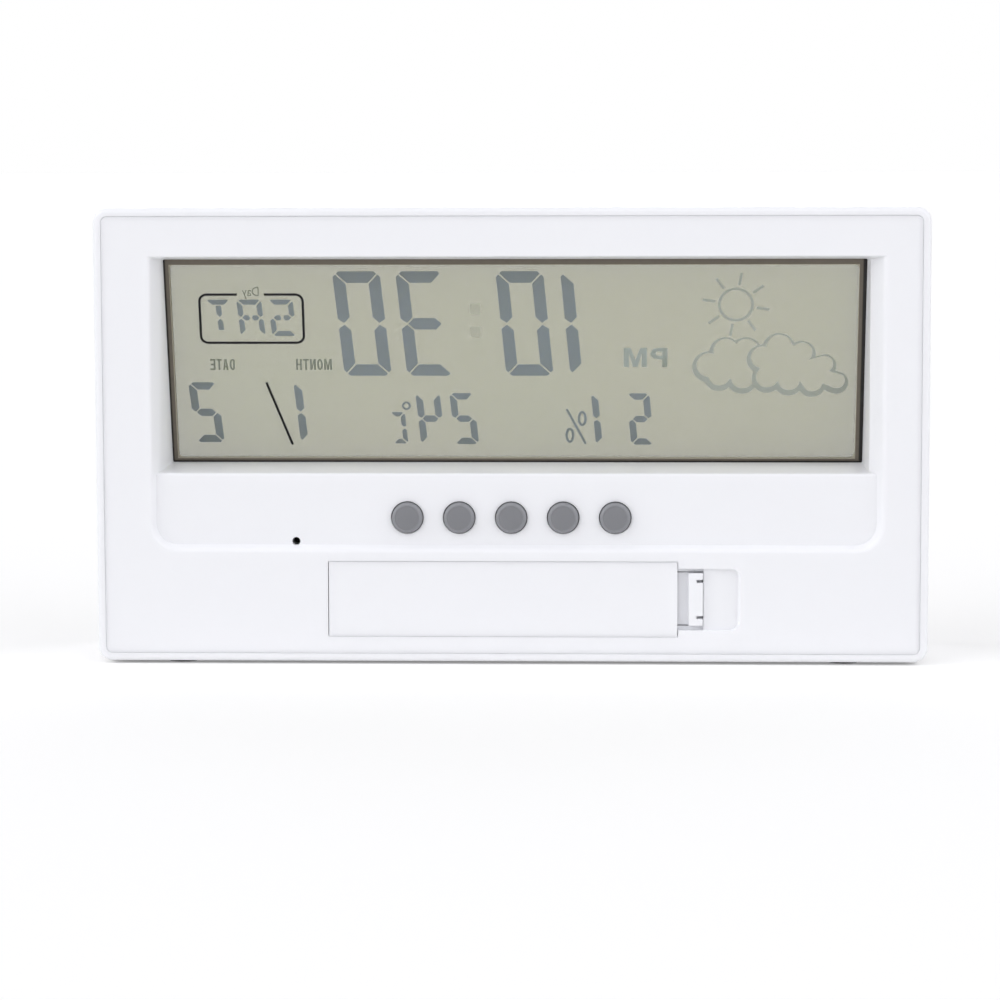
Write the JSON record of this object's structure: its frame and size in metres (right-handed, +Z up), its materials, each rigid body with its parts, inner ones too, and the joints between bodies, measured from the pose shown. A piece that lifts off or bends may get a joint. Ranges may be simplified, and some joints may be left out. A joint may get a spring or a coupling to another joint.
{
  "type": "weather station",
  "caption": "Free-standing desk weather station with a see-through display, rear push buttons and a latched battery cover.",
  "frame": {"origin": "centre of the footprint, on the surface that the station stands on", "axes": "+Z up; +Y towards the flat back with the buttons; the leaning display faces -Y; +X along the width"},
  "size_m": [0.17, 0.036, 0.0934],
  "materials": {
    "white_plastic": "fine satin moulded ABS",
    "grey_rubber": "smooth moulded key caps",
    "clear_window": "clear polished acrylic",
    "display_glass": "see-through liquid crystal cell",
    "display_film": "grey-olive polarizing film",
    "dark_foam": "dark frame gasket",
    "orange_film": "flexible film with printed lines",
    "green_board": "solder mask on glass-fibre board",
    "black_resin": "moulded resin",
    "steel": "nickel-plated spring steel",
    "brass": "rolled brass disc",
    "cell_sleeve": "plain printed sleeve",
    "sensor_white": "moulded sensor housing",
    "red_wire": "wire insulation",
    "black_wire": "wire insulation",
    "black_rubber": "soft rubber feet"
  },
  "bodies": {
    "housing": {"front_housing": "white_plastic", "back_cover": "white_plastic", "front_lens": "clear_window", "lcd_gasket": "dark_foam", "rear_polarizer": "display_film", "lcd_glass": "display_glass", "front_polarizer": "display_film", "contact_strip": "orange_film", "main_board": "green_board", "chip_cover": "black_resin", "crystal": "steel", "capacitor": "black_resin", "humidity_sensor": "sensor_white", "thermistor": "black_resin", "tact_switch_1": "black_resin", "tact_switch_2": "black_resin", "tact_switch_3": "black_resin", "tact_switch_4": "black_resin", "tact_switch_5": "black_resin", "reset_switch": "steel", "board_screw_1": "steel", "board_screw_2": "steel", "board_screw_3": "steel", "board_screw_4": "steel", "battery": "cell_sleeve", "spring_contact": "steel", "positive_contact": "steel", "battery_wire_black": "black_wire", "battery_wire_red": "red_wire", "buzzer": "brass", "buzzer_wire_black": "black_wire", "buzzer_wire_red": "red_wire", "foot_1": "black_rubber", "foot_2": "black_rubber", "foot_3": "black_rubber", "foot_4": "black_rubber"},
    "button_1": {"button_1": "grey_rubber", "tact_plunger_1": "black_resin"},
    "button_2": {"button_2": "grey_rubber", "tact_plunger_2": "black_resin"},
    "button_3": {"button_3": "grey_rubber", "tact_plunger_3": "black_resin"},
    "button_4": {"button_4": "grey_rubber", "tact_plunger_4": "black_resin"},
    "button_5": {"button_5": "grey_rubber", "tact_plunger_5": "black_resin"},
    "reset_plunger": {"reset_plunger": "black_resin"},
    "battery_cover": {"battery_cover": "white_plastic"},
    "cover_latch": {"cover_latch": "white_plastic"}
  },
  "joints": [
    {"name": "button_1_press", "type": "slide", "parent": "housing", "child": "button_1", "axis": [0, -1, 0], "range_m": [0, 0.0005], "stiffness_N_per_m": 1500},
    {"name": "button_2_press", "type": "slide", "parent": "housing", "child": "button_2", "axis": [0, -1, 0], "range_m": [0, 0.0005], "stiffness_N_per_m": 1500},
    {"name": "button_3_press", "type": "slide", "parent": "housing", "child": "button_3", "axis": [0, -1, 0], "range_m": [0, 0.0005], "stiffness_N_per_m": 1500},
    {"name": "button_4_press", "type": "slide", "parent": "housing", "child": "button_4", "axis": [0, -1, 0], "range_m": [0, 0.0005], "stiffness_N_per_m": 1500},
    {"name": "button_5_press", "type": "slide", "parent": "housing", "child": "button_5", "axis": [0, -1, 0], "range_m": [0, 0.0005], "stiffness_N_per_m": 1500},
    {"name": "reset_press", "type": "slide", "parent": "housing", "child": "reset_plunger", "axis": [0, -1, 0], "range_m": [0, 0.00025], "stiffness_N_per_m": 1500},
    {"name": "cover_hinge", "type": "hinge", "parent": "housing", "child": "battery_cover", "pos_m": [0.0375, 0.01786, 0.01353], "axis": [0, 0, -1], "range_deg": [0, 60]},
    {"name": "latch_flex", "type": "hinge", "parent": "battery_cover", "child": "cover_latch", "pos_m": [-0.0345, 0.00946, 0.01353], "axis": [0, 0, -1], "range_deg": [0, 8], "stiffness_Nm_per_rad": 0.1}
  ]
}
